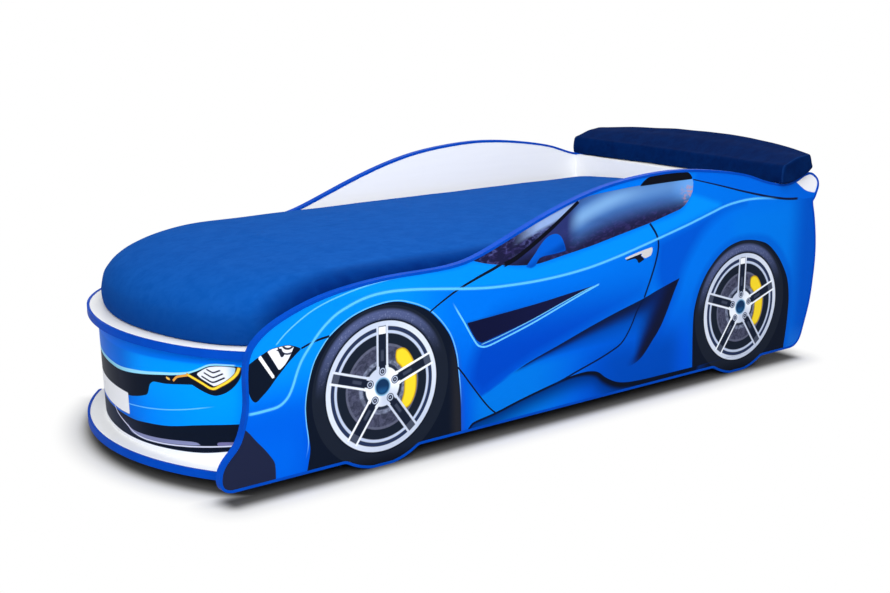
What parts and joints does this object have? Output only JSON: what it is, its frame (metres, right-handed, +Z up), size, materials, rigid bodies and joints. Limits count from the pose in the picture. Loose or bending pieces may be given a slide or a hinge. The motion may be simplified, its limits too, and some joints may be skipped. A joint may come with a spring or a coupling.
{
  "type": "car bed for children",
  "caption": "Low car-shaped bed for a child, with printed blue side panels, a round nose, a domed velvet mattress and a padded spoiler behind the headboard.",
  "frame": {"origin": "on the floor, under the middle of the bed's length and width", "axes": "+X from the nose to the headboard and spoiler, +Y across the bed, +Z up; the side seen in the picture is at -Y"},
  "size_m": [2.1146, 0.876, 0.6367],
  "materials": {
    "printed_board": "satin printed laminate on 16 mm board",
    "printed_hardboard": "satin printed laminate on 3 mm hardboard",
    "white_board": "fine-grained white laminate on 16 mm board",
    "blue_edging": "satin flexible edging",
    "pine": "planed, untreated",
    "plywood": "raw",
    "foam": "open-cell foam",
    "blue_velvet": "short-pile velvet",
    "navy_velvet": "short-pile velvet",
    "zinc_steel": "bright zinc-plated"
  },
  "bodies": {
    "bed": {"left_side_panel": "printed_board", "right_side_panel": "printed_board", "left_edging": "blue_edging", "right_edging": "blue_edging", "rim_edging": "blue_edging", "bumper_edging": "blue_edging", "rim_board": "white_board", "bumper_shelf": "white_board", "front_panel": "printed_hardboard", "front_bulkhead": "white_board", "front_rib_left": "white_board", "front_rib_centre": "white_board", "front_rib_right": "white_board", "headboard": "white_board", "middle_cross_board": "white_board", "left_rail": "pine", "right_rail": "pine", "centre_beam": "pine", "spoiler_shelf": "white_board", "spoiler_core": "plywood", "spoiler_cushion": "navy_velvet", "slat_01": "pine", "slat_02": "pine", "slat_03": "pine", "slat_04": "pine", "slat_05": "pine", "slat_06": "pine", "slat_07": "pine", "slat_08": "pine", "slat_09": "pine", "slat_10": "pine", "slat_11": "pine", "slat_12": "pine", "front_brackets": "zinc_steel", "middle_brackets": "zinc_steel", "rear_brackets": "zinc_steel", "spoiler_brackets": "zinc_steel", "rim_screws": "zinc_steel", "bumper_screws": "zinc_steel", "rail_screws": "zinc_steel", "slat_screws": "zinc_steel", "bracket_screws": "zinc_steel", "spoiler_screws": "zinc_steel"},
    "mattress": {"mattress_cover": "blue_velvet", "mattress_core": "foam"}
  },
  "joints": [
    {"name": "mattress_lift", "type": "slide", "parent": "bed", "child": "mattress", "axis": [0, 0, 1], "range_m": [0, 0.35]}
  ]
}
